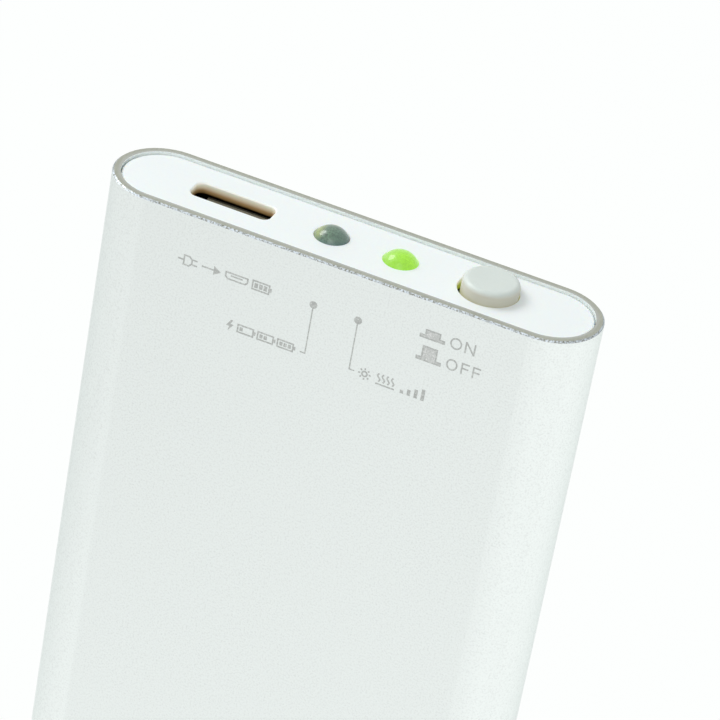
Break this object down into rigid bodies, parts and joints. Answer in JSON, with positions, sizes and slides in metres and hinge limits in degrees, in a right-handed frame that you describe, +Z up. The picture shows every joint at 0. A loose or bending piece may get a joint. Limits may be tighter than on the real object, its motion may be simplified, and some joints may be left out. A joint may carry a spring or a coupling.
{
  "type": "rechargeable hand warmer",
  "caption": "Slim metal-cased rechargeable hand warmer with inset end caps, a charging port, indicator lights and a latching push button.",
  "frame": {"origin": "centre of the lower rim of the sleeve, on the surface that the warmer stands on", "axes": "+Z up along the length to the charging port and button, +X across the width towards the button, printed face towards -Y"},
  "size_m": [0.044, 0.0092, 0.0959],
  "materials": {
    "bead_blasted_aluminium": "fine bead-blasted, clear anodised",
    "white_cap_plastic": "satin moulded",
    "frame_plastic": "moulded, matt",
    "button_plastic": "satin moulded",
    "stem_plastic": "moulded nylon",
    "switch_plastic": "moulded",
    "spring_wire": "drawn wire",
    "tinned_metal": "tin plated",
    "contact_brass": "gold plated",
    "connector_shell": "nickel plated sheet",
    "connector_plastic": "moulded",
    "charging_lens": "tinted clear epoxy, unlit",
    "warming_lens": "tinted clear epoxy, lit",
    "board_laminate": "green solder mask",
    "chip_epoxy": "moulded epoxy",
    "ferrite": "pressed ferrite",
    "capacitor_ceramic": "fired ceramic",
    "pouch_foil": "laminated pouch foil",
    "red_insulation": "silicone sleeve",
    "black_insulation": "silicone sleeve",
    "white_insulation": "silicone sleeve",
    "polyimide_film": "polyimide",
    "heating_foil": "etched constantan foil",
    "foam": "closed-cell foam",
    "thermistor_epoxy": "dipped epoxy"
  },
  "bodies": {
    "casing": {"sleeve": "bead_blasted_aluminium", "top_cap": "white_cap_plastic", "bottom_cap": "white_cap_plastic", "inner_frame": "frame_plastic", "switch_housing": "switch_plastic", "switch_spring": "spring_wire", "latch_pin": "spring_wire", "switch_legs": "tinned_metal", "usb_shell": "connector_shell", "usb_insulator": "connector_plastic", "usb_contacts": "contact_brass", "charging_led": "charging_lens", "charging_led_leads": "tinned_metal", "warming_led": "warming_lens", "warming_led_leads": "tinned_metal", "circuit_board": "board_laminate", "board_screws": "tinned_metal", "charge_chip": "chip_epoxy", "control_chip": "chip_epoxy", "chip_legs": "tinned_metal", "power_inductor": "ferrite", "power_transistors": "chip_epoxy", "chip_capacitors": "capacitor_ceramic", "chip_resistors": "chip_epoxy", "battery_cell": "pouch_foil", "battery_tabs": "tinned_metal", "protection_board": "board_laminate", "red_battery_lead": "red_insulation", "black_battery_lead": "black_insulation", "front_heater_film": "polyimide_film", "rear_heater_film": "polyimide_film", "front_heater_track": "heating_foil", "rear_heater_track": "heating_foil", "front_heater_leads": "white_insulation", "rear_heater_leads": "white_insulation", "front_foam_pad": "foam", "rear_foam_pad": "foam", "thermistor": "thermistor_epoxy", "thermistor_leads": "tinned_metal"},
    "button": {"power_button": "button_plastic", "switch_stem": "stem_plastic", "contact_bridges": "contact_brass"}
  },
  "joints": [
    {"name": "power_button_press", "type": "slide", "parent": "casing", "child": "button", "axis": [0, 0, 1], "range_m": [-0.0005, 0.0015], "stiffness_N_per_m": 500, "springref_m": 0.0015, "deforming": ["switch_spring"]}
  ]
}
